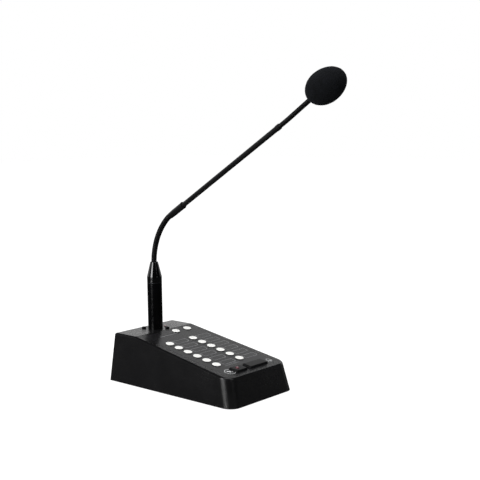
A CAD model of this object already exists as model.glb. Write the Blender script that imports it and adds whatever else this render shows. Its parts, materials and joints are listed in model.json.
# %% [markdown]
# A desk paging microphone.
#
# The real object is a wedge-shaped console of black moulded plastic. It carries two columns of
# white round buttons, two front keys and a gooseneck microphone with a foam windscreen. Its
# solids come in finished and in place from the frame, so this notebook never moves them. It
# gives every surface its material, and it models what the plain solids leave out: the wound
# necks, the foam, the print on the panel, the screw heads and the feet.

# %% Load the model
import json
import math

import bmesh
import bpy
from mathutils import Matrix, Vector, noise
from mathutils.geometry import interpolate_bezier


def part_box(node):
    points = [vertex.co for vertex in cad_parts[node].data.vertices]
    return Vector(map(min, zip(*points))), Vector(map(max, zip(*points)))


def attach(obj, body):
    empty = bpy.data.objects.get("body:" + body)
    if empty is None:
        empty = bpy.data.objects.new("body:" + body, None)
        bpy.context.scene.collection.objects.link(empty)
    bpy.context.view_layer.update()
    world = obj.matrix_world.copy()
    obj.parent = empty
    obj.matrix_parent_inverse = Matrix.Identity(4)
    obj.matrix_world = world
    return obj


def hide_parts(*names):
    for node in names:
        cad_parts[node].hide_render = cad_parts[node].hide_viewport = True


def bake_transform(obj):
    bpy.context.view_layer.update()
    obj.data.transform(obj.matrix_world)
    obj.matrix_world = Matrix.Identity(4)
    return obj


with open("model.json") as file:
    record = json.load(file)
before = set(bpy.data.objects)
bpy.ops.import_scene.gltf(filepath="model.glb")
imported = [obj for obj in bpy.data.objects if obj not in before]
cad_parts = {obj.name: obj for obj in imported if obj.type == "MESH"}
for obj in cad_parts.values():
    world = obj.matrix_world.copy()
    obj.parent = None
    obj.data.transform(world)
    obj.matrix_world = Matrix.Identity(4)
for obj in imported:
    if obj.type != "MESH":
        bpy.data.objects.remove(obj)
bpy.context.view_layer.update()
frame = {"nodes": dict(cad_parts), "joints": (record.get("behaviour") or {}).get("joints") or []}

MM = 0.001
nodes = frame["nodes"]

# %% [markdown]
# The camera comes first, because every later choice is judged through it.
#
# The photograph was taken from the console's front left, a little above the table, with a long
# lens. Its place was found by fitting the corners of the case and the rows of buttons, so the
# values below are real metres and degrees. The lens's centre falls a fraction of a pixel off the
# middle of the frame, which a small shift repeats. A camera can be aimed with a constraint, but
# a matrix built from its own three directions is exact and needs nothing else in the scene.

# %% Camera
camera_place = Vector((-0.8417, -0.8084, 0.3293))
camera_azimuth = math.radians(-48.703)
camera_elevation = math.radians(7.108)
camera_roll = math.radians(-0.664)
camera_lens_mm = 71.34
frame_pixels = 480
left_pixels = 0.2
up_pixels = 0.38
straight_up = Vector((0, 0, 1))


def add_object(name, data):
    """Put an object that carries some data into the scene."""
    made = bpy.data.objects.new(name, data)
    bpy.context.scene.collection.objects.link(made)
    return made


level = math.cos(camera_elevation)
back = Vector((math.sin(camera_azimuth) * level, -math.cos(camera_azimuth) * level, 0))
back.z = math.sin(camera_elevation)
level_right = (-back).cross(straight_up).normalized()
level_up = level_right.cross(-back)
right = level_right * math.cos(camera_roll) + level_up * math.sin(camera_roll)
up = level_up * math.cos(camera_roll) - level_right * math.sin(camera_roll)

camera = add_object("camera", bpy.data.cameras.new("camera"))
camera.data.lens = camera_lens_mm
camera.data.shift_x = left_pixels / frame_pixels
camera.data.shift_y = -up_pixels / frame_pixels
aim = Matrix((right, up, back)).transposed().to_4x4()
camera.matrix_world = Matrix.Translation(camera_place) @ aim
bpy.context.scene.camera = camera
bpy.context.scene.view_settings.view_transform = "Standard"
print("camera at", [round(v, 3) for v in camera_place])

# %% [markdown]
# Materials are built from shader nodes, and each one needs only a few kinds of them.
#
# One small function adds a node and sets the node's own options. Its inputs are filled either
# with plain values or with links from earlier nodes, and the main shader's inputs are filled in
# the same way. Colours are written as the sRGB hex values that a paint chart would give, and one
# function turns them into the linear values that shaders work in.

# %% Node helper and colours
def linear(hex_colour):
    """An sRGB hex colour as the linear colour, with alpha, that a shader takes."""
    channels = [int(hex_colour[start : start + 2], 16) / 255 for start in (1, 3, 5)]
    return [c / 12.92 if c <= 0.04045 else ((c + 0.055) / 1.055) ** 2.4 for c in channels] + [1.0]


def fill(node, inputs):
    """Fill a node's inputs, each with a plain value or with another node's output."""
    for socket, value in inputs.items():
        if isinstance(value, bpy.types.NodeSocket):
            node.id_data.links.new(value, node.inputs[socket])
        else:
            node.inputs[socket].default_value = value


def add_node(material, kind, inputs=None, **settings):
    """Add a shader node, named by its kind, with its settings and inputs."""
    node = material.node_tree.nodes.new("ShaderNode" + kind)
    for name, value in settings.items():
        setattr(node, name, value)
    fill(node, inputs or {})
    return node


# %% [markdown]
# Most of this object is moulded, painted or printed, and those finishes share one recipe.
#
# Seen close, such a surface has two scales: slow clouds in its colour and gloss from the way it
# cooled and from handling, and a fine grain in relief from the mould, the film or the paint.
# The recipe takes the real size of each in millimetres, and any other input of the main shader
# by its name. Noise seldom comes near 0 or 1, so both ramps end well inside that. The grain is a
# bump, because relief of a few hundredths of a millimetre never shows in an outline.

# %% The recipe for a grained surface
colour_stops = (0.35, 0.65)
gloss_stops = (0.3, 0.7)


def surface_of(material):
    """The main shader of a material."""
    return material.node_tree.nodes["Principled BSDF"]


def grained(name, colours, cloud_mm, grain_mm, relief_mm, roughness, specular=0.5, **shader):
    """A material with clouded colour and gloss and a fine grain, all from Object coordinates."""
    material = bpy.data.materials.new(name)
    material.use_nodes = True
    place = add_node(material, "TexCoord").outputs["Object"]
    cloud = add_node(material, "TexNoise", {
        "Vector": place, "Scale": 1 / (cloud_mm * MM), "Detail": 4.0, "Roughness": 0.6,
    }).outputs["Fac"]
    tint = add_node(material, "ValToRGB", {"Fac": cloud})
    for stop, colour, position in zip(tint.color_ramp.elements, colours, colour_stops):
        stop.color = linear(colour)
        stop.position = position
    gloss = add_node(material, "MapRange", {
        "Value": cloud, "From Min": gloss_stops[0], "From Max": gloss_stops[1],
        "To Min": roughness[0], "To Max": roughness[1],
    })
    grain = add_node(material, "TexNoise", {
        "Vector": place, "Scale": 1 / (grain_mm * MM), "Detail": 2.0,
    })
    relief = add_node(material, "Bump", {
        "Height": grain.outputs["Fac"], "Distance": relief_mm * MM, "Strength": 1.0,
    })
    surface = surface_of(material)
    fill(surface, {"Base Color": tint.outputs["Color"], "Roughness": gloss.outputs["Result"]})
    fill(surface, {"Normal": relief.outputs["Normal"], "Specular IOR Level": specular})
    fill(surface, {socket.replace("_", " ").title(): shader[socket] for socket in shader})
    print("material", name)
    return material


# %% [markdown]
# The plastics.
#
# The case is ABS, moulded against a spark-eroded tool, which leaves a fine even grain that
# scatters the light, so its sides stay a soft near-black and only its rounded corners catch a
# band of light. The keys are the same plastic from a finer tool. The round buttons are white
# ABS with a satin polish: bright, faintly warm and smooth. The sockets at the rear are
# glass-filled nylon, duller and a little mottled.

# %% Plastics
black_abs = grained(
    "spark_grained_black_abs", ("#0e0e0f", "#121213"),
    cloud_mm=35.0, grain_mm=0.3, relief_mm=0.1, roughness=(0.22, 0.28), specular=0.28,
)
key_abs = grained(
    "satin_black_abs", ("#0a0a0b", "#0e0e0f"),
    cloud_mm=9.0, grain_mm=0.5, relief_mm=0.008, roughness=(0.27, 0.34), specular=0.14,
)
button_abs = grained(
    "satin_white_abs", ("#f3f3f0", "#f8f8f6"),
    cloud_mm=6.0, grain_mm=0.5, relief_mm=0.008, roughness=(0.34, 0.42),
)
black_nylon = grained(
    "glass_filled_black_nylon", ("#17171a", "#202024"),
    cloud_mm=3.0, grain_mm=0.3, relief_mm=0.02, roughness=(0.5, 0.62),
)
white_nylon = grained(
    "natural_nylon", ("#dcd9cf", "#e6e4dc"),
    cloud_mm=4.0, grain_mm=0.4, relief_mm=0.01, roughness=(0.45, 0.55),
)

# %% [markdown]
# Handling has polished the rounded edges of the case.
#
# Hands and sleeves rub the grain off wherever a surface turns over, so the edge round the top is
# smoother than the faces beside it, and mirrors the dark above as a thin black line. The edge
# is found by how far the surface is tipped: it lies between the faces that look up and the
# faces that look sideways. There the grain is shallower and the gloss is higher.

# %% Worn edges
def source(node, socket):
    """The output that feeds a node's input."""
    return node.inputs[socket].links[0].from_socket


def worn(material, side_tip, top_tip, share):
    """Cut a material's grain and roughness to a share where the surface's tip is between two."""
    surface = surface_of(material)
    normal = add_node(material, "TexCoord").outputs["Normal"]
    tip = add_node(material, "SeparateXYZ", {0: normal}).outputs["Z"]
    ends = {}
    for index, (low, high) in enumerate((side_tip, top_tip)):
        end = add_node(material, "MapRange", {"Value": tip, "From Min": low, "From Max": high})
        ends[index] = end.outputs["Result"]
    rubbed = add_node(material, "Math", ends, operation="MULTIPLY")
    kept = add_node(material, "MapRange", {
        "Value": rubbed.outputs["Value"], "To Min": 1.0, "To Max": share,
    }).outputs["Result"]
    gloss = {0: source(surface, "Roughness"), 1: kept}
    duller = add_node(material, "Math", gloss, operation="MULTIPLY")
    fill(source(surface, "Normal").node, {"Strength": kept})
    fill(surface, {"Roughness": duller.outputs["Value"]})


worn(black_abs, side_tip=(0.27, 0.4), top_tip=(0.975, 0.94), share=0.35)
print("worn edges on", black_abs.name)

# %% [markdown]
# The panel's skin is a sheet of polyester film, printed on its back and matted on its face.
#
# The matt face is a haze of fine dimples. Seen from above it is a plain dark grey, but at the
# low angle of the photograph it mirrors the white wall behind it, which is why the panel is so
# much paler than the case, and why the upright leaves a dark reflection across it.

# %% Film and ink
panel_film = grained(
    "matted_polyester_film", ("#151517", "#1a1a1c"),
    cloud_mm=50.0, grain_mm=0.35, relief_mm=0.004, roughness=(0.25, 0.31), specular=0.4,
)
window_film = grained(
    "clear_window_film", ("#1e1e20", "#232325"),
    cloud_mm=30.0, grain_mm=1.5, relief_mm=0.002, roughness=(0.16, 0.2), specular=0.3,
)
line_ink = grained(
    "grey_screen_ink", ("#6e6f71", "#7a7b7d"),
    cloud_mm=5.0, grain_mm=0.3, relief_mm=0.003, roughness=(0.4, 0.5),
)
symbol_ink = grained(
    "white_screen_ink", ("#d6d7d8", "#e2e3e4"),
    cloud_mm=3.0, grain_mm=0.3, relief_mm=0.003, roughness=(0.4, 0.5),
)

# %% [markdown]
# The metal parts.
#
# The upright, the sleeve and the straight tube are steel under a satin black lacquer, so what
# shows is the lacquer: very black, with a faint highlight that runs along each cylinder. The
# collar is polished harder, and its cone draws the lamps out into bright lines. The flexible
# necks are wound from blackened spring steel, which is duller. The thin ring under the collar is
# anodised aluminium, a grey line. The two screws beside the upright are black oxide, and the
# screws underneath are bright zinc. Where metal is bare, its colour is the colour of its gloss.

# %% Metals and lacquer
black_lacquer = grained(
    "satin_black_lacquer_on_steel", ("#101011", "#151516"),
    cloud_mm=20.0, grain_mm=0.6, relief_mm=0.004, roughness=(0.3, 0.36), specular=0.17,
)
upright_lacquer = grained(
    "black_lacquer_over_turned_steel", ("#030303", "#050506"),
    cloud_mm=20.0, grain_mm=0.6, relief_mm=0.003, roughness=(0.16, 0.2), specular=0.12,
)
collar_lacquer = grained(
    "polished_black_lacquer_on_steel", ("#030303", "#050506"),
    cloud_mm=12.0, grain_mm=0.8, relief_mm=0.002, roughness=(0.06, 0.09), specular=0.62,
)
spring_steel = grained(
    "blackened_spring_steel", ("#0c0c0d", "#111112"),
    cloud_mm=6.0, grain_mm=0.3, relief_mm=0.01, roughness=(0.34, 0.42), specular=0.16,
)
anodised_ring = grained(
    "grey_anodised_aluminium", ("#3a3b3e", "#454649"),
    cloud_mm=4.0, grain_mm=0.2, relief_mm=0.004, roughness=(0.4, 0.48), metallic=1.0,
)
bare_aluminium = grained(
    "turned_aluminium", ("#b4b5b8", "#c4c5c8"),
    cloud_mm=4.0, grain_mm=0.2, relief_mm=0.004, roughness=(0.28, 0.36), metallic=1.0,
)
black_oxide = grained(
    "black_oxide_steel", ("#121213", "#1b1b1c"),
    cloud_mm=1.5, grain_mm=0.2, relief_mm=0.006, roughness=(0.32, 0.42), metallic=1.0,
)
bright_zinc = grained(
    "bright_zinc_plate", ("#a9adb2", "#c0c3c6"),
    cloud_mm=2.0, grain_mm=0.3, relief_mm=0.006, roughness=(0.22, 0.32), metallic=1.0,
)
gold_plate = grained(
    "gold_plated_bronze", ("#c79a3c", "#d8ae52"),
    cloud_mm=2.0, grain_mm=0.2, relief_mm=0.002, roughness=(0.2, 0.26), metallic=1.0,
)

# %% [markdown]
# The upright and its collar were turned on a lathe before they were lacquered.
#
# A cutting tool leaves a fine thread of grooves round a piece. Each groove tips the surface up
# and down but never sideways, so a lamp is smeared into one thin upright line, which is just
# what the photograph shows on the upright. Noise squeezed along Z gives such rings. The lacquer
# half fills them, and on the collar's cone they are polished away almost wholly, so there a
# ramp over height makes them shallower.

# %% Turning marks
cone_blend = 0.2 * MM
widest_share = 0.99


def turned(material, pitch_mm, depth_mm, cone_base=math.inf, cone_share=1.0):
    """Add fine grooves round the Z axis, shallower by a share above the base of a cone."""
    surface = surface_of(material)
    place = add_node(material, "TexCoord").outputs["Object"]
    squeezed = add_node(material, "Mapping", {
        "Vector": place, "Scale": (1.0, 1.0, 1 / (pitch_mm * MM)),
    })
    grooves = add_node(material, "TexNoise", {"Vector": squeezed.outputs["Vector"], "Scale": 1.0})
    depth = grooves.outputs["Fac"]
    if cone_base < math.inf:
        share = add_node(material, "MapRange", {
            "Value": add_node(material, "SeparateXYZ", {0: place}).outputs["Z"],
            "From Min": cone_base - cone_blend, "From Max": cone_base + cone_blend,
            "To Min": 1.0, "To Max": cone_share,
        })
        factors = {0: depth, 1: share.outputs["Result"]}
        depth = add_node(material, "Math", factors, operation="MULTIPLY").outputs["Value"]
    marks = add_node(material, "Bump", {
        "Height": depth, "Distance": depth_mm * MM, "Strength": 1.0,
        "Normal": source(surface, "Normal"),
    })
    fill(surface, {"Normal": marks.outputs["Normal"]})


collar_low, collar_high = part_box("neck_collar")
collar_middle = (collar_low + collar_high) / 2
collar_radius = (collar_high.x - collar_low.x) / 2
cone_base = max(
    vertex.co.z
    for vertex in nodes["neck_collar"].data.vertices
    if (vertex.co - collar_middle).xy.length > widest_share * collar_radius
)
turned(upright_lacquer, pitch_mm=0.5, depth_mm=0.12)
turned(collar_lacquer, pitch_mm=0.5, depth_mm=0.12, cone_base=cone_base, cone_share=0.08)
print("the cone starts", round((cone_base - collar_low.z) / MM, 2), "mm above the ring")

# %% [markdown]
# The rubber, the lenses, the circuit boards and the flat cables.
#
# The feet are moulded rubber, grey-black and dull with a dusty bloom. The two lights are red
# polycarbonate lenses: glossy, deep in colour and a little lit from inside. The circuit boards
# and flat cables hardly show, but a few glimpses through the sockets are enough to give them
# their own green solder mask and grey vinyl.

# %% Rubber, lenses, boards and cable
foot_rubber = grained(
    "moulded_rubber", ("#1c1c1c", "#2a2a29"),
    cloud_mm=5.0, grain_mm=0.5, relief_mm=0.03, roughness=(0.75, 0.9),
)
red_lens = grained(
    "red_polycarbonate_lens", ("#4a1422", "#581a2a"),
    cloud_mm=1.5, grain_mm=0.8, relief_mm=0.002, roughness=(0.12, 0.18),
    coat_weight=0.3, coat_roughness=0.08,
)
status_lens = grained(
    "rose_polycarbonate_lens", ("#8c4c58", "#9a5866"),
    cloud_mm=1.5, grain_mm=0.8, relief_mm=0.002, roughness=(0.12, 0.18),
    coat_weight=0.6, coat_roughness=0.08,
)
solder_mask = grained(
    "green_solder_mask", ("#0b3d20", "#0f4c28"),
    cloud_mm=6.0, grain_mm=0.6, relief_mm=0.01, roughness=(0.3, 0.38),
)
grey_vinyl = grained(
    "grey_vinyl_cable", ("#8b8c90", "#97989c"),
    cloud_mm=8.0, grain_mm=0.6, relief_mm=0.01, roughness=(0.45, 0.55),
)

# %% [markdown]
# The windscreen is open-cell polyurethane foam, dyed black.
#
# Each cell is an open bubble about half a millimetre across, so the surface is all little dark
# mouths with thin matt struts between them: nothing glints, and the ball looks velvety, with a
# slight grey-blue bloom at its edges. A Voronoi pattern is the shape of packed bubbles. The cells
# are drawn a little coarser than real ones, so that they still show at this distance.

# %% Foam
foam_cell_mm = 0.9
foam_pit_mm = 0.35
foam = grained(
    "black_open_cell_foam", ("#0a0b0d", "#101114"),
    cloud_mm=7.0, grain_mm=1.4, relief_mm=0.08, roughness=(0.9, 1.0),
    specular=0.1, sheen_weight=0.05, sheen_roughness=0.5, sheen_tint=linear("#8d93a0"),
)
foam_surface = surface_of(foam)
foam_place = add_node(foam, "TexCoord").outputs["Object"]
foam_cells = add_node(foam, "TexVoronoi", {
    "Vector": foam_place, "Scale": 1 / (foam_cell_mm * MM),
}, feature="F1")
foam_pits = add_node(foam, "Bump", {
    "Height": foam_cells.outputs["Distance"], "Distance": foam_pit_mm * MM, "Strength": 0.8,
    "Normal": source(foam_surface, "Normal"),
})
fill(foam_surface, {"Normal": foam_pits.outputs["Normal"]})
print("foam cells", foam_cell_mm, "mm across")

# %% [markdown]
# The solids that keep their own shape only need their slots filled.
#
# A table of material to nodes says this more clearly than sixty lines would. The repeated nodes,
# such as the buttons, are found by the start of their names.

# %% Dress the solids
finishes = {
    black_abs: ["upper_case", "base_plate"],
    key_abs: ["talk_key", "chime_key"],
    button_abs: [name for name in nodes if name.startswith(("zone_button", "function_button"))],
    panel_film: ["panel_sheet"],
    collar_lacquer: ["neck_collar"],
    upright_lacquer: ["upright_tube"],
    black_lacquer: ["neck_sleeve", "boom_tube", "boom_ferrule", "capsule_housing"],
    anodised_ring: ["tube_ring"],
    bare_aluminium: ["mic_capsule"],
    red_lens: ["talk_light"],
    status_lens: ["status_light"],
    black_nylon: [
        "link_socket_left", "link_socket_right", "gooseneck_socket",
        "plug_insert", "key_switches", "ribbon_headers",
    ],
    white_nylon: ["talk_light_spacer"],
    gold_plate: ["link_socket_contacts", "socket_contacts", "plug_pins"],
    solder_mask: ["panel_board", "link_board", "socket_board", "amplifier_board"],
    grey_vinyl: ["panel_ribbon", "socket_ribbon"],
    bright_zinc: ["ballast_plate", "board_screws"],
}
for material, names in finishes.items():
    for name in names:
        for slot in nodes[name].material_slots:
            slot.material = material
print("solids dressed:", sum(len(names) for names in finishes.values()))

# %% [markdown]
# New pieces take their places from the solids, so three small measuring tools come next.
#
# The first tells how far a solid reaches along any direction. The second is the panel's own
# sheet of drawing paper: a matrix that lays anything drawn flat in X and Y onto the sloping film.
# The third turns a finished bmesh into an object whose place is in its mesh, with its faces
# smooth except across real corners.

# %% Measuring and making
weld = 0.001 * MM
sideways = Vector((1, 0, 0))


def reach(node, start, direction):
    """The least and greatest distance of a solid's corners from a start, along a direction."""
    distances = [(vertex.co - start).dot(direction) for vertex in nodes[node].data.vertices]
    return min(distances), max(distances)


joint_places = {j["name"]: Vector(j["pos_m"]) for j in frame["joints"] if "pos_m" in j}
button_joint = next(j for j in frame["joints"] if j["child"] == "zone_button_01")
panel_normal = -Vector(button_joint["axis"]).normalized()
panel_rearward = panel_normal.cross(sideways)
film_level = reach("panel_sheet", Vector(), panel_normal)[1]
film_front, film_rear = reach("panel_sheet", Vector(), panel_rearward)
panel_matrix = Matrix((sideways, panel_rearward, panel_normal)).transposed().to_4x4()
panel_matrix.translation = panel_normal * film_level + panel_rearward * film_rear


def make_piece(shape, name, material, corner_degrees=35):
    """Turn a bmesh into an object, smooth except where its faces meet at more than an angle."""
    bmesh.ops.remove_doubles(shape, verts=shape.verts, dist=weld)
    bmesh.ops.recalc_face_normals(shape, faces=shape.faces)
    for face in shape.faces:
        face.smooth = True
    for edge in shape.edges:
        edge.smooth = edge.calc_face_angle(math.pi) < math.radians(corner_degrees)
    mesh = bpy.data.meshes.new(name)
    shape.to_mesh(mesh)
    shape.free()
    mesh.materials.append(material)
    print(name, len(mesh.polygons), "faces")
    return add_object(name, mesh)


print("film", round((film_rear - film_front) / MM, 1), "mm long, top", round(film_level / MM, 2))

# %% [markdown]
# The buttons and the talk light need a colour that follows their own shape.
#
# Each button is a white cap over a black skirt, which is why a fine dark line runs round every
# one. The skirt ends a set height above the film, and height above the film is one dot product
# with the panel's normal. The light is a red lens with its bright chip in the middle, and there
# the colour follows the distance from the tip of the dome. Both recipes put a ramp between the
# clouded colour that the material has and the one that it needs there.

# %% Skirts and lamp core
skirt_height_mm = 0.65
skirt_blend_mm = 0.02
core_radius_mm = (0.5, 1.1)


def recolour(material, measure, low, high, hex_colour):
    """Fade a material from another colour at the low measure to its own at the high one."""
    surface = surface_of(material)
    share = add_node(material, "MapRange", {
        "Value": measure, "From Min": low * MM, "From Max": high * MM,
    })
    mixed = add_node(material, "Mix", {
        "Factor": share.outputs["Result"],
        "A": linear(hex_colour),
        "B": source(surface, "Base Color"),
    }, data_type="RGBA")
    fill(surface, {"Base Color": mixed.outputs["Result"]})


def measured(material, operation, vector):
    """A vector-maths measure of a point of the piece against a constant vector."""
    points = {0: add_node(material, "TexCoord").outputs["Object"], 1: vector}
    return add_node(material, "VectorMath", points, operation=operation).outputs["Value"]


skirt_mm = film_level / MM + skirt_height_mm
button_level = measured(button_abs, "DOT_PRODUCT", panel_normal)
recolour(button_abs, button_level, skirt_mm - skirt_blend_mm, skirt_mm + skirt_blend_mm, "#1c1c1d")
light_low, light_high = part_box("talk_light")
light_middle = (light_low + light_high) / 2
light_tip = light_middle + panel_normal * reach("talk_light", light_middle, panel_normal)[1]
recolour(red_lens, measured(red_lens, "DISTANCE", light_tip), *core_radius_mm, "#e0bcc4")
print("light's tip at", [round(v / MM, 2) for v in light_tip])

# %% [markdown]
# The print on the panel.
#
# Screen ink is a film a few hundredths of a millimetre thick. It could be painted by the
# material, but a pattern that has to meet each button exactly is easier to place as geometry,
# and stays sharp at any distance. So each mark is drawn flat, lifted by the thickness of the ink
# and laid on the panel. Everything is built from three strokes: a bar, a disc and an arc.

# %% Strokes
ink_thickness = 0.04 * MM
ink_gap = 0.01 * MM
disc_sides = 32
arc_steps = 24


def bar(shape, x_low, x_high, y_low, y_high):
    """A flat rectangle between two corners, in millimetres."""
    made = bmesh.ops.create_grid(shape, x_segments=1, y_segments=1, size=0.5)["verts"]
    size = Vector(((x_high - x_low) * MM, (y_high - y_low) * MM, 1))
    bmesh.ops.scale(shape, vec=size, verts=made)
    centre = Vector(((x_low + x_high) / 2 * MM, (y_low + y_high) / 2 * MM, 0))
    bmesh.ops.translate(shape, vec=centre, verts=made)
    return made


def disc(shape, x, y, radius):
    """A flat filled circle, in millimetres."""
    made = bmesh.ops.create_circle(
        shape, cap_ends=True, segments=disc_sides, radius=radius * MM
    )["verts"]
    bmesh.ops.translate(shape, vec=Vector((x * MM, y * MM, 0)), verts=made)
    return made


def arc(shape, x, y, radius, width, start_degrees, turn_degrees):
    """A flat curved stroke: a short edge across the stroke, spun round a centre."""
    centre = Vector((x * MM, y * MM, 0))
    start = math.radians(start_degrees)
    heading = Vector((math.cos(start), math.sin(start), 0))
    ends = [shape.verts.new(centre + heading * (radius + side * width / 2) * MM) for side in (-1, 1)]
    bmesh.ops.spin(
        shape, geom=[*ends, shape.edges.new(ends)], cent=centre, axis=straight_up,
        angle=math.radians(turn_degrees), steps=arc_steps, use_merge=turn_degrees == 360,
    )


def only(kind, items):
    """The items of one kind: vertices, edges or faces."""
    return [item for item in items if isinstance(item, kind)]


def print_on_panel(shape, name, material):
    """Give flat strokes the ink's thickness and lay them on the film."""
    bmesh.ops.remove_doubles(shape, verts=shape.verts, dist=weld)
    bmesh.ops.recalc_face_normals(shape, faces=shape.faces)
    raised = bmesh.ops.extrude_face_region(shape, geom=shape.faces[:], use_keep_orig=True)["geom"]
    lifted = only(bmesh.types.BMVert, raised)
    bmesh.ops.translate(shape, vec=Vector((0, 0, ink_thickness)), verts=lifted)
    on_film = panel_matrix @ Matrix.Translation((0, 0, ink_gap))
    bmesh.ops.transform(shape, matrix=on_film, verts=shape.verts)
    piece = make_piece(shape, name, material)
    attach(piece, "console")


# %% [markdown]
# The label fields.
#
# Beside each zone button is a small window for a paper label, with a thin printed frame whose
# far corner is cut off. A frame is drawn as its outline: a rectangle, one corner bevelled, then
# an inset that leaves a narrow border, and the middle becomes the window.

# %% Label frames and windows
label_half_height = 5.0
label_line = 1.0
label_corner = 2.6
rows = 6
# The first button of each column, with the left and right ends of the frames beside it.
label_columns = {"zone_button_01": (-21.2, 1.2), "zone_button_07": (19.6, 41.6)}


def panel_place(node):
    """The centre of a node in the panel's own drawing, in millimetres."""
    low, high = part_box(node)
    return panel_matrix.inverted() @ ((low + high) / 2) / MM


frames = bmesh.new()
windows = bmesh.new()
for first_name, (x_low, x_high) in label_columns.items():
    first = int(first_name[-2:])
    for row in range(rows):
        y = panel_place(f"zone_button_{first + row:02d}").y
        field = bar(frames, x_low, x_high, y - label_half_height, y + label_half_height)
        far_corner = max(field, key=lambda vertex: vertex.co.x - vertex.co.y)
        bmesh.ops.bevel(
            frames, geom=[far_corner], affect="VERTICES", offset=label_corner * MM,
            segments=1, profile=0.5, material=-1,
        )
bmesh.ops.inset_individual(frames, faces=frames.faces[:], thickness=label_line * MM)
whole = max(face.calc_area() for face in frames.faces)
middles = [face for face in frames.faces if face.calc_area() > whole / 2]
for face in middles:
    windows.faces.new([windows.verts.new(vertex.co) for vertex in face.verts])
bmesh.ops.delete(frames, geom=middles, context="FACES_ONLY")
print_on_panel(frames, "label_frames", line_ink)
print_on_panel(windows, "label_windows", window_film)
print("label fields:", len(middles))

# %% [markdown]
# The rules.
#
# A thin rule closes the area above the zone buttons, and another one parts the zone buttons from
# the keys. A rule needs no more than a long flat bar. The first is placed from the film's rear
# edge, where the drawing starts, and the second from the last button.

# %% Rules
rule_half_width = 0.45
title_rule_y = -13.4
title_rule_x = (-24.0, 6.0)
key_rule_x = (-23.5, 2.0)
key_rule_drop = 8.2
key_rule_y = panel_place("zone_button_06").y - key_rule_drop

rules = bmesh.new()
bar(rules, *title_rule_x, title_rule_y - rule_half_width, title_rule_y + rule_half_width)
bar(rules, *key_rule_x, key_rule_y - rule_half_width, key_rule_y + rule_half_width)
print_on_panel(rules, "panel_rules", line_ink)

# %% [markdown]
# The symbols.
#
# A microphone stands beside the talk key and a bell beside the chime key: both are the plain
# pictograms that any such console carries. The microphone is a long capsule over a cradle, a
# stem and a foot, all leaning, in an open ring. The bell is a dome on two walls, with a brim, a
# clapper below and a loop above. The bars of both are lists of sizes from the symbol's centre,
# because six lines of sizes are easier to compare with a photograph than six calls.

# %% Sizes of the symbols
symbol_line = 0.5
mic_from_key = -14.4
mic_lean_degrees = 50
capsule_height = 1.6
capsule_half_width = 1.1
capsule_half_length = 1.4
cradle_height = 1.0
cradle_radius = 2.3
ring_radius = 6.6
ring_gap_degrees = 104
bell_from_key = 25.8
bell_drop = 0.6
dome_height = 1.2
dome_radius = 2.7
clapper_height = -3.4
clapper_radius = 0.9

# Each bar has its middle across, its half width, its bottom and its top.
mic_bars = {"stem": (0.0, 0.25, -3.2, -1.3), "foot": (0.0, 1.8, -3.7, -3.2)}
bell_bars = {
    "left wall": (-dome_radius, 0.25, -1.7, dome_height),
    "right wall": (dome_radius, 0.25, -1.7, dome_height),
    "brim": (0.0, 4.0, -2.4, -1.7),
    "loop": (0.0, 0.25, 4.1, 5.0),
}
print("bars in the symbols:", len(mic_bars) + len(bell_bars))

# %% Symbols
def bars(shape, x, y, sizes):
    """Draw the bars of a symbol round its centre."""
    for across, half_width, bottom, top in sizes.values():
        bar(shape, x + across - half_width, x + across + half_width, y + bottom, y + top)


symbols = bmesh.new()
talk_y = panel_place("talk_key").y
mic_x = panel_place("talk_key").x + mic_from_key
capsule_y = talk_y + capsule_height
for vertex in disc(symbols, mic_x, capsule_y, capsule_half_width):
    vertex.co.y += math.copysign(capsule_half_length * MM, vertex.co.y - capsule_y * MM)
arc(symbols, mic_x, talk_y + cradle_height, cradle_radius, symbol_line, 180, 180)
bars(symbols, mic_x, talk_y, mic_bars)
mic_lean = Matrix.Rotation(math.radians(mic_lean_degrees), 3, "Z")
mic_centre = Vector((mic_x * MM, talk_y * MM, 0))
bmesh.ops.rotate(symbols, cent=mic_centre, matrix=mic_lean, verts=symbols.verts)
ring_start = ring_gap_degrees / 2
arc(symbols, mic_x, talk_y, ring_radius, symbol_line, ring_start, 360 - ring_gap_degrees)

bell_x = panel_place("chime_key").x + bell_from_key
bell_y = talk_y - bell_drop
arc(symbols, bell_x, bell_y + dome_height, dome_radius, symbol_line, 0, 180)
bars(symbols, bell_x, bell_y, bell_bars)
disc(symbols, bell_x, bell_y + clapper_height, clapper_radius)
print_on_panel(symbols, "panel_symbols", symbol_ink)

# %% [markdown]
# The windscreen.
#
# It is a ball of foam, longer than it is wide and pushed onto the microphone's head. A cube
# sphere or an icosphere spreads its faces evenly, which suits a surface that will be roughened
# all over, so this one starts as a fine icosphere. Its two halves are stretched by different
# amounts, the neck's mouth is drawn in, and low noise makes the outline as uneven as cut foam.
# It sits a few degrees out of line with the head, as a windscreen pushed on by hand does.

# %% Windscreen
head_start = joint_places["head_swivel"]
head_direction = (head_start - joint_places["head_tilt"]).normalized()
foam_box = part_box("foam_windscreen")
foam_radius = (foam_box[1].x - foam_box[0].x) / 2
# Distances along the head: the ball's lower end from the joint, its length, its widest place.
foam_start = 13.0 * MM
foam_length = 52.3 * MM
foam_widest = 24.6 * MM
foam_lean_degrees = 5.9
foam_skin = 0.15 * MM
mouth_radius = 4.2 * MM
mouth_depth = 1.6 * MM
lumps, pores = 9.0, 40.0

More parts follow.
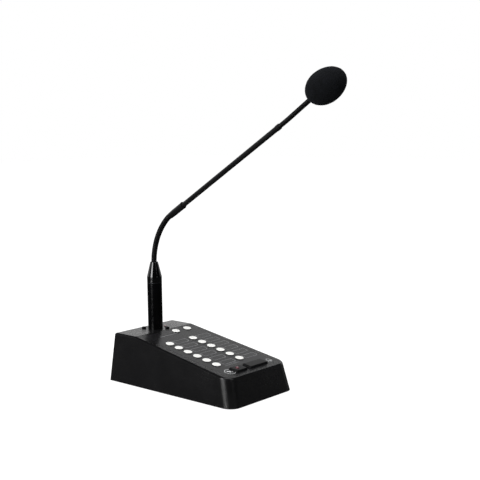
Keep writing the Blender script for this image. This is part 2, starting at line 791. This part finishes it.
ball = bmesh.new()
bmesh.ops.create_icosphere(ball, subdivisions=6, radius=1.0)
for vertex in ball.verts:
    x, y, z = vertex.co
    half_length = foam_widest if z < 0 else foam_length - foam_widest
    wobble = noise.noise(vertex.co * lumps) + 0.5 * noise.noise(vertex.co * pores)
    skin = 1.0 - foam_skin * (1.0 - wobble) / foam_radius
    vertex.co = Vector((x * foam_radius, y * foam_radius, z * half_length)) * skin
    across = math.hypot(vertex.co.x, vertex.co.y)
    if z < 0 and across < 2 * mouth_radius:
        vertex.co.z += mouth_depth * math.exp(-((across / mouth_radius) ** 4))
turn = straight_up.rotation_difference(head_direction).to_matrix().to_4x4()
lean = Matrix.Rotation(math.radians(foam_lean_degrees), 4, "X")
foam_centre = head_start + head_direction * (foam_start + foam_widest)
at_head = Matrix.Translation(foam_centre) @ lean @ turn
bmesh.ops.transform(ball, matrix=at_head, verts=ball.verts)
windscreen = make_piece(ball, "windscreen", foam, corner_degrees=180)
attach(windscreen, "head")
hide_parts("foam_windscreen")
print("windscreen", round(2 * foam_radius / MM, 1), "by", round(foam_length / MM, 1))

# %% [markdown]
# The flexible necks.
#
# A gooseneck is a tight spring wound from steel wire, so close up it is a fine screw thread from
# end to end, and it bends in one smooth curve. The solids stand in for it with a few straight
# links. Here each joint gets one stretch of winding, made straight and then bent: a small circle
# is spun up a screw for the wire, a plain tube is its core, and every point is then carried to
# the same place along the neck's own curve. A stretch ends in the middle of a link, where it
# moves as that link does, so neighbouring stretches always meet.

# %% Winding a stretch of neck
wire_sides = 8
turn_steps = 20
core_sides = 24


def wind(radius, length, turns, wire_radius):
    """A straight close winding along Z, with its core, from 0 to a length."""
    shape = bmesh.new()
    wire = bmesh.ops.create_circle(shape, segments=wire_sides, radius=wire_radius)["verts"]
    upright = Matrix.Rotation(math.pi / 2, 4, "X")
    beside = Matrix.Translation((radius - wire_radius, 0, 0))
    bmesh.ops.transform(shape, matrix=beside @ upright, verts=wire)
    steps = turns * turn_steps
    bmesh.ops.spin(
        shape, geom=[*wire, *shape.edges], cent=Vector(), axis=straight_up,
        dvec=straight_up * (length / steps), angle=2 * math.pi * turns, steps=steps,
    )
    bmesh.ops.holes_fill(shape, edges=[edge for edge in shape.edges if edge.is_boundary])
    core = bmesh.ops.create_circle(
        shape, segments=core_sides, radius=radius - wire_radius, cap_ends=True
    )["verts"]
    ring = list(dict.fromkeys(edge for vertex in core for edge in vertex.link_edges))
    for _ in range(turns):
        grown = bmesh.ops.extrude_edge_only(shape, edges=ring)["geom"]
        ring = only(bmesh.types.BMEdge, grown)
        tops = only(bmesh.types.BMVert, grown)
        bmesh.ops.translate(shape, vec=straight_up * (length / turns), verts=tops)
    bmesh.ops.holes_fill(shape, edges=ring)
    return shape


# %% [markdown]
# The neck's curve runs through its joints. A Bezier stretch between each pair of points, with
# handles along the neck's direction at both, follows an arc this gentle to a hundredth of a
# millimetre. The direction at a joint is the average of the two links that meet there.

# %% The curve of a neck
curve_steps = 12


def neck_curve(points, first_direction, last_direction):
    """Closely spaced points along a smooth curve through the given ones, with distances."""
    directions = [first_direction]
    for before, here, after in zip(points, points[1:], points[2:]):
        directions.append(((here - before).normalized() + (after - here).normalized()).normalized())
    directions.append(last_direction)
    curve = []
    for start, end, leaving, arriving in zip(points, points[1:], directions, directions[1:]):
        handle = (end - start).length / 3
        near_start, near_end = start + leaving * handle, end - arriving * handle
        curve += interpolate_bezier(start, near_start, near_end, end, curve_steps + 1)[:-1]
    curve.append(points[-1])
    distances = [0.0]
    for before, after in zip(curve, curve[1:]):
        distances.append(distances[-1] + (after - before).length)
    return curve, distances


def point_on(curve, distances, along):
    """The point at a distance along a curve, with its step and the share of that step."""
    index = max(i for i, distance in enumerate(distances[:-1]) if distance <= along)
    share = (along - distances[index]) / (distances[index + 1] - distances[index])
    return curve[index].lerp(curve[index + 1], share), index, share


def bend_along(shape, curve, distances, start):
    """Carry a shape drawn along Z onto a curve in the YZ plane, starting at a distance."""
    for vertex in shape.verts:
        along = min(max(start + vertex.co.z, 0.0), distances[-1])
        centre, index, share = point_on(curve, distances, along)
        before = curve[index + 1] - curve[max(index - 1, 0)]
        after = curve[min(index + 2, len(curve) - 1)] - curve[index]
        heading = before.normalized().lerp(after.normalized(), share).normalized()
        outward = heading.cross(sideways)
        vertex.co = centre + sideways * vertex.co.x + outward * vertex.co.y


# %% [markdown]
# The lower neck comes out of the collar, bends forward through five joints and ends in the
# sleeve. Its stretches meet at the middles of its links, and its ends run a few millimetres on
# inside the collar and the sleeve, so that no gap opens there when it bends.

# %% Dressing a neck
def dress_neck(label, curve, distances, marks, replaced, radius, wire_radius):
    """Wind a neck in stretches between marks along it, each bending from one body to the next."""
    for index, (low, high) in enumerate(zip(marks, marks[1:])):
        turns = round((high - low) / (2 * wire_radius))
        shape = wind(radius, high - low, turns, wire_radius)
        bend_along(shape, curve, distances, low)
        piece = make_piece(shape, f"{label}_winding_{index + 1}", spring_steel, corner_degrees=60)
        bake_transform(piece)
        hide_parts(*replaced[index])
    print(label, round(distances[-1] / MM, 1), "mm long")


# %% Lower neck
lower_names = ("neck_bend_1", "neck_sway_1", "neck_bend_2", "neck_sway_2", "neck_bend_3")
lower_joints = [joint_places[name] for name in lower_names]
boom_direction = (joint_places["head_tilt"] - lower_joints[-1]).normalized()
collar_top = Vector((0, lower_joints[0].y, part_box("neck_collar")[1].z))
sleeve_start = reach("neck_sleeve", lower_joints[-1], boom_direction)[0]
inside = 6 * MM
lower_points = [
    collar_top - straight_up * inside,
    *lower_joints,
    lower_joints[-1] + boom_direction * (sleeve_start + inside),
]
curve, distances = neck_curve(lower_points, straight_up, boom_direction)
joint_marks = [distances[(index + 1) * curve_steps] for index in range(len(lower_joints))]
link_middles = [(low + high) / 2 for low, high in zip(joint_marks, joint_marks[1:])]
neck_radius = 3.6 * MM
neck_wire_radius = 0.6 * MM
dress_neck(
    "lower_neck",
    curve,
    distances,
    [0.0, *link_middles, distances[-1]],
    [
        ["neck_root_link", "neck_link_1"],
        ["neck_link_2"],
        ["neck_link_3"],
        ["neck_link_4"],
        ["neck_end_link"],
    ],
    neck_radius,
    neck_wire_radius,
)

# %% [markdown]
# The upper neck is thinner and nearly straight. It joins the straight tube to the head, and
# turns at two joints.

# %% Upper neck
upper_joints = [joint_places["head_tilt"], joint_places["head_swivel"]]
tube_end = reach("boom_tube", upper_joints[0], boom_direction)[1]
upper_points = [
    upper_joints[0] + boom_direction * (tube_end - inside / 3),
    *upper_joints,
    head_start + head_direction * (foam_start + inside),
]
curve, distances = neck_curve(upper_points, boom_direction, head_direction)
upper_radius = 2.88 * MM
upper_wire_radius = 0.5 * MM
dress_neck(
    "upper_neck",
    curve,
    distances,
    [0.0, (distances[curve_steps] + distances[2 * curve_steps]) / 2, distances[-1]],
    [["upper_neck_root_link", "upper_neck_link"], ["upper_neck_end_link"]],
    upper_radius,
    upper_wire_radius,
)

# %% [markdown]
# The screws.
#
# A machine screw's head is a low drum with a rounded rim and a cross-shaped recess. Cutting the
# recess with a boolean would work, but the same cross can be scored into the top face with a few
# planes and then pushed down, which leaves clean faces.

# %% Joined and cut faces
def shape_island(seed):
    """Every vertex joined to one vertex."""
    found = {seed}
    waiting = [seed]
    while waiting:
        vertex = waiting.pop()
        for edge in vertex.link_edges:
            other = edge.other_vert(vertex)
            if other not in found:
                found.add(other)
                waiting.append(other)
    return list(found)


def cut_cells(shape, cells, axis, distance):
    """Cut some faces by a plane across an axis, and return all that they become."""
    edges = dict.fromkeys(edge for cell in cells for edge in cell.edges)
    corners = dict.fromkeys(vertex for cell in cells for vertex in cell.verts)
    cut = bmesh.ops.bisect_plane(
        shape, geom=[*cells, *edges, *corners], dist=1e-7, plane_co=axis * distance, plane_no=axis
    )
    return list(dict.fromkeys(only(bmesh.types.BMFace, cut["geom"])))


# %% A screw head
screw_sides = 32
rim_share = 0.35


def screw_head(shape, radius, height, recess_half, recess_reach, recess_depth, turn_degrees):
    """A head standing on Z = 0 with a cross recess in its top; returns its vertices."""
    rim = bmesh.ops.create_circle(
        shape, cap_ends=True, segments=screw_sides, radius=radius
    )["verts"]
    base = next(face for face in rim[0].link_faces if len(face.verts) == screw_sides)
    grown = bmesh.ops.extrude_face_region(shape, geom=[base], use_keep_orig=True)["geom"]
    top = only(bmesh.types.BMFace, grown)[0]
    bmesh.ops.translate(shape, vec=straight_up * height, verts=only(bmesh.types.BMVert, grown))
    bmesh.ops.bevel(
        shape, geom=list(top.edges), affect="EDGES", offset=height * rim_share,
        segments=3, profile=0.5, material=-1,
    )
    faces = [face for vertex in shape_island(rim[0]) for face in vertex.link_faces]
    cells = [max(faces, key=lambda face: face.calc_center_median().z)]
    for axis in (sideways, Vector((0, 1, 0))):
        for distance in (-recess_reach, -recess_half, recess_half, recess_reach):
            cells = cut_cells(shape, cells, axis, distance)
    arms = []
    for cell in cells:
        centre = cell.calc_center_median()
        near, far = sorted((abs(centre.x), abs(centre.y)))
        if near < recess_half and far < recess_reach:
            arms.append(cell)
    sunk = bmesh.ops.extrude_face_region(shape, geom=arms)["geom"]
    bmesh.ops.delete(shape, geom=[face for face in arms if face.is_valid], context="FACES_ONLY")
    floor_verts = only(bmesh.types.BMVert, sunk)
    bmesh.ops.translate(shape, vec=straight_up * -recess_depth, verts=floor_verts)
    made = shape_island(rim[0])
    way_round = Matrix.Rotation(math.radians(turn_degrees), 3, "Z")
    bmesh.ops.rotate(shape, cent=Vector(), matrix=way_round, verts=made)
    return made


# %% [markdown]
# The two dark screws hold the gooseneck's socket from above, and six bright ones hold the base
# plate and the ballast from below. Their centres and sizes come from the solids that they
# replace, and no two crosses point the same way.

# %% Boxes of separate solids
def solid_boxes(node):
    """The lowest and highest corner of each separate solid of a node."""
    copy = bmesh.new()
    copy.from_mesh(nodes[node].data)
    bmesh.ops.remove_doubles(copy, verts=copy.verts, dist=weld)
    left = set(copy.verts)
    boxes = []
    while left:
        solid = shape_island(left.pop())
        left -= set(solid)
        low = Vector(min(vertex.co[axis] for vertex in solid) for axis in range(3))
        high = Vector(max(vertex.co[axis] for vertex in solid) for axis in range(3))
        boxes.append((low, high))
    copy.free()
    return sorted(boxes, key=lambda box: tuple(box[0]))


# %% Screws in place
def place_screws(name, node, material, head_height, facing):
    """Put one cross-recessed head over each solid of a node, facing up or down."""
    shape = bmesh.new()
    for index, (low, high) in enumerate(solid_boxes(node)):
        radius = (high.x - low.x) / 2
        head = screw_head(
            shape,
            radius,
            head_height,
            recess_half=radius * 0.14,
            recess_reach=radius * 0.58,
            recess_depth=head_height * 0.6,
            turn_degrees=25 + 37 * index,
        )
        seat = high.z - head_height if facing > 0 else low.z + head_height
        place = Vector(((low.x + high.x) / 2, (low.y + high.y) / 2, seat))
        way = Matrix.Identity(4) if facing > 0 else Matrix.Rotation(math.pi, 4, "X")
        bmesh.ops.transform(shape, matrix=Matrix.Translation(place) @ way, verts=head)
    piece = make_piece(shape, name, material)
    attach(piece, "console")
    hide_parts(node)


socket_head = 2.0 * MM
base_head = 1.35 * MM
place_screws("socket_screw_heads", "socket_screws", black_oxide, socket_head, facing=1)
place_screws("base_screw_heads", "bottom_screws", bright_zinc, base_head, facing=-1)

# %% [markdown]
# The feet.
#
# Each foot is a round rubber pad in a shallow pocket. Its lower edge is rounded, and a groove
# runs round underneath so that it grips. A profile spun round the foot's own axis makes both.

# %% Feet
foot_edge = 0.5 * MM
groove_radius = 3.2 * MM
groove_half = 0.5 * MM
groove_depth = 0.5 * MM
edge_steps = 4
foot_sides = 32

feet = bmesh.new()
for low, high in solid_boxes("rubber_feet"):
    radius = (high.x - low.x) / 2
    profile = [
        (0.0, 0.0),
        (groove_radius - groove_half, 0.0),
        (groove_radius - groove_half, groove_depth),
        (groove_radius + groove_half, groove_depth),
        (groove_radius + groove_half, 0.0),
    ]
    for step in range(edge_steps + 1):
        angle = math.pi / 2 * step / edge_steps
        out, rise = math.sin(angle) - 1, 1 - math.cos(angle)
        profile.append((radius + foot_edge * out, foot_edge * rise))
    profile += [(radius, high.z - low.z), (0.0, high.z - low.z)]
    centre = Vector(((low.x + high.x) / 2, (low.y + high.y) / 2, low.z))
    chain = [feet.verts.new(centre + Vector((x, 0, z))) for x, z in profile]
    edges = [feet.edges.new(pair) for pair in zip(chain, chain[1:])]
    bmesh.ops.spin(
        feet, geom=[*chain, *edges], cent=centre, axis=straight_up, angle=2 * math.pi,
        steps=foot_sides, use_merge=True,
    )
foot_pads = make_piece(feet, "foot_pads", foot_rubber)
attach(foot_pads, "console")
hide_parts("rubber_feet")

# %% [markdown]
# The studio.
#
# The photograph is a cut-out on pure white, but the gloss on the object shows a real studio: a
# pale backdrop behind it, dark above, and a dim room in front. So camera and glass rays see a
# world of full white, mirror rays see the backdrop fade upwards and towards the room, and the
# light that the world throws on the object is a soft even fill.

# %% World
fill_strength = 0.38
horizon_strength = 1.0
sky_strength = 0.02
room_strength = 0.01
backdrop_heading = Vector((0.6, 0.8, 0.0))
backdrop_top = (0.3, 0.62)
backdrop_side = (-0.25, 0.85)

world = bpy.data.worlds.new("studio")
bpy.context.scene.world = world
world.use_nodes = True


def seen_directly(owner):
    """A node output that is 1 for camera and glass rays, and 0 for all others."""
    path = add_node(owner, "LightPath").outputs
    rays = {0: path["Is Camera Ray"], 1: path["Is Transmission Ray"]}
    return add_node(owner, "Math", rays, operation="MAXIMUM").outputs["Value"]


def mirror_ray(owner):
    """A node output that is 1 for the rays of a reflection."""
    return add_node(owner, "LightPath").outputs["Is Glossy Ray"]


# %% What each ray sees
direction = add_node(world, "TexCoord").outputs["Generated"]
backdrop = add_node(world, "MapRange", {
    "Value": add_node(world, "SeparateXYZ", {0: direction}).outputs["Z"],
    "From Min": backdrop_top[0], "From Max": backdrop_top[1],
    "To Min": horizon_strength, "To Max": sky_strength,
}, interpolation_type="SMOOTHSTEP")
headings = {0: direction, 1: backdrop_heading}
towards = add_node(world, "VectorMath", headings, operation="DOT_PRODUCT")
mirrored = add_node(world, "MapRange", {
    "Value": towards.outputs["Value"],
    "From Min": backdrop_side[0], "From Max": backdrop_side[1],
    "To Min": room_strength, "To Max": backdrop.outputs["Result"],
}, interpolation_type="SMOOTHSTEP")
indirect = add_node(world, "MapRange", {
    "Value": mirror_ray(world), "To Min": fill_strength, "To Max": mirrored.outputs["Result"],
})
brightness = add_node(world, "MapRange", {
    "Value": seen_directly(world), "To Min": indirect.outputs["Result"], "To Max": 1.0,
})
fill(world.node_tree.nodes["Background"], {
    "Color": linear("#ffffff"), "Strength": brightness.outputs["Result"],
})
print("world with a fill of", fill_strength)

# %% [markdown]
# The floor is pale paint under real light, plus a glow that only camera and glass rays see. The
# two add up to just over white wherever the fill reaches, so the floor melts into the world,
# and where the object keeps the light off it, it stays a shade darker: the shadow. The glossy
# black sides mirror no pale floor in the photograph, so mirror rays see a dark one here.

# %% Floor
floor_glow = 0.9
floor_mirrored = 0.04
floor_size = 12.0

floor_shape = bmesh.new()
bmesh.ops.create_grid(floor_shape, x_segments=1, y_segments=1, size=floor_size / 2)
floor_mesh = bpy.data.meshes.new("floor")
floor_shape.to_mesh(floor_mesh)
floor_shape.free()
floor = add_object("floor", floor_mesh)
print("floor", floor_size, "m across")

# %% Floor paint
floor_paint = bpy.data.materials.new("white_studio_floor")
floor_paint.use_nodes = True
floor_mesh.materials.append(floor_paint)
painted = surface_of(floor_paint)
fill(painted, {"Base Color": linear("#969696"), "Roughness": 0.9, "Specular IOR Level": 0.0})
glow_factors = {0: seen_directly(floor_paint), 1: floor_glow}
glow = add_node(floor_paint, "Emission", {
    "Color": linear("#ffffff"),
    "Strength": add_node(floor_paint, "Math", glow_factors, operation="MULTIPLY").outputs["Value"],
})
dark = add_node(floor_paint, "Emission", {
    "Color": linear("#ffffff"), "Strength": floor_mirrored,
})
pale = add_node(floor_paint, "AddShader", {
    0: painted.outputs["BSDF"], 1: glow.outputs["Emission"],
})
seen = add_node(floor_paint, "MixShader", {
    0: mirror_ray(floor_paint), 1: pale.outputs["Shader"], 2: dark.outputs["Emission"],
})
fill(floor_paint.node_tree.nodes["Material Output"], {"Surface": seen.outputs["Shader"]})
print("floor paint glows at", floor_glow)

# %% [markdown]
# The lamps.
#
# A wide softbox overhead does most of the work. A tall one stands to the object's left: it draws
# the bright line down the collar and the rounded front corner, as in the photograph. A weaker
# one straight in front gives the collar its second, softer highlight.

# %% Lamps
def softbox(name, place, target, width, height, watts):
    """A rectangular area lamp that faces a point and hides from the camera."""
    data = bpy.data.lights.new(name, "AREA")
    data.shape = "RECTANGLE"
    data.size = width
    data.size_y = height
    data.energy = watts
    lamp = add_object(name, data)
    facing = (Vector(target) - Vector(place)).to_track_quat("-Z", "Y").to_matrix().to_4x4()
    lamp.matrix_world = Matrix.Translation(place) @ facing
    lamp.visible_camera = False
    print(name, watts, "W")


softbox("overhead_softbox", (-0.05, -0.35, 1.9), (0, -0.05, 0.1), width=1.6, height=1.0, watts=18.0)
softbox("left_strip", (-1.6, 0.12, 0.64), (0, 0, 0.15), width=0.75, height=1.24, watts=27.0)
softbox("front_strip", (0.0, -1.5, 1.1), (0, 0, 0.15), width=0.4, height=0.9, watts=3.0)
